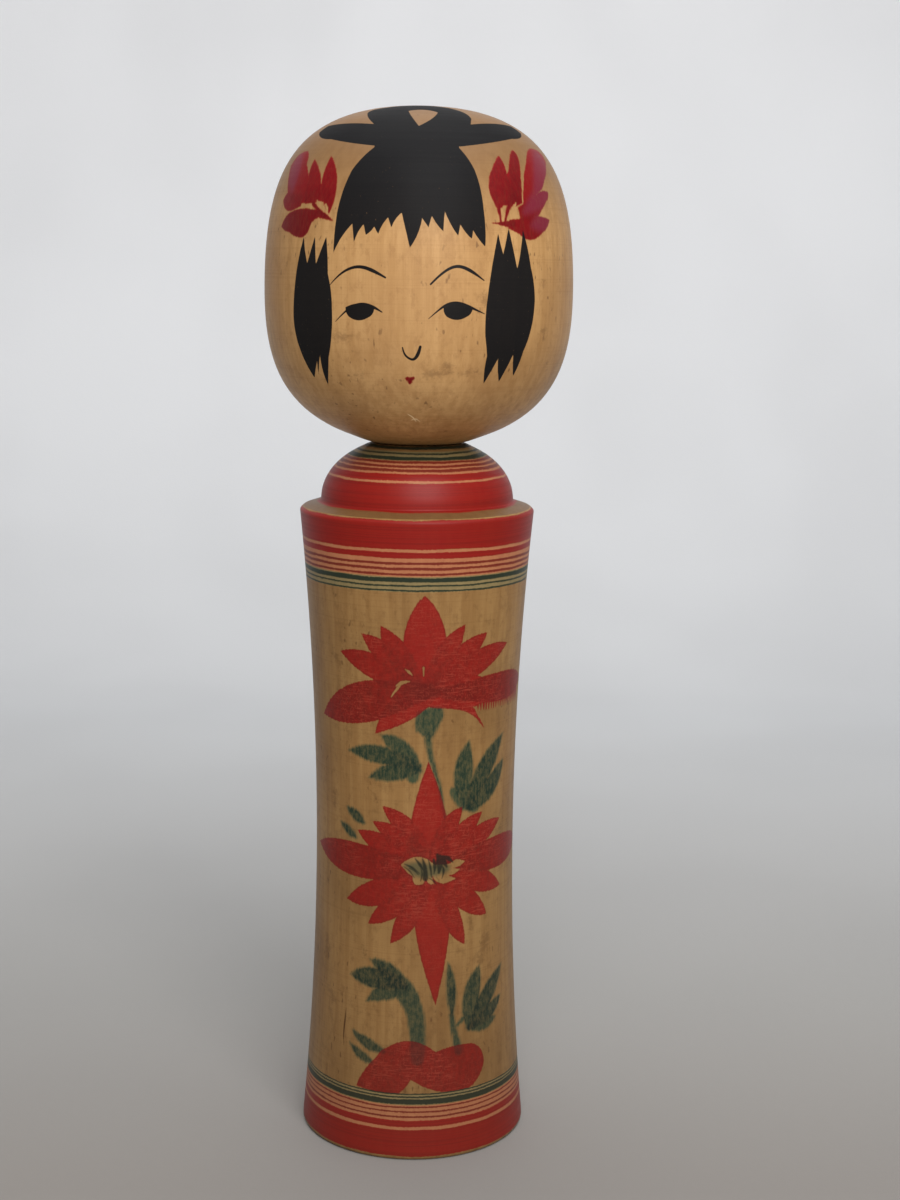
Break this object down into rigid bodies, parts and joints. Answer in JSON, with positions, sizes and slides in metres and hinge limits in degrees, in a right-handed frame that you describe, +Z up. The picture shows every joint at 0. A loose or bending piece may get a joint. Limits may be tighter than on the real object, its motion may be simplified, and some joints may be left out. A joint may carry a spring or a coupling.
{
  "type": "kokeshi doll",
  "caption": "Tall turned wooden doll with a waisted body, a domed stepped shoulder and a large round head on a captive neck peg that turns without limit.",
  "frame": {"origin": "centre of the base's flat underside, on the turning axis", "axes": "+Z up along the turning axis from the base to the crown, -Y towards the viewer, the way the painted face and flowers look at rest, +X to the viewer's right"},
  "size_m": [0.071, 0.071, 0.2426],
  "materials": {
    "body_wood": "aged pale hardwood, painted with translucent dyes while turning and by brush, satin wax over all",
    "head_wood": "aged pale hardwood, face and hair painted by brush in ink and translucent dyes, satin wax over all"
  },
  "bodies": {
    "body": {"body": "body_wood"},
    "head": {"head": "head_wood"}
  },
  "joints": [
    {"name": "head_turn", "type": "hinge", "parent": "body", "child": "head", "pos_m": [0, 0, 0.1665], "axis": [0, 0, 1], "continuous": true}
  ]
}
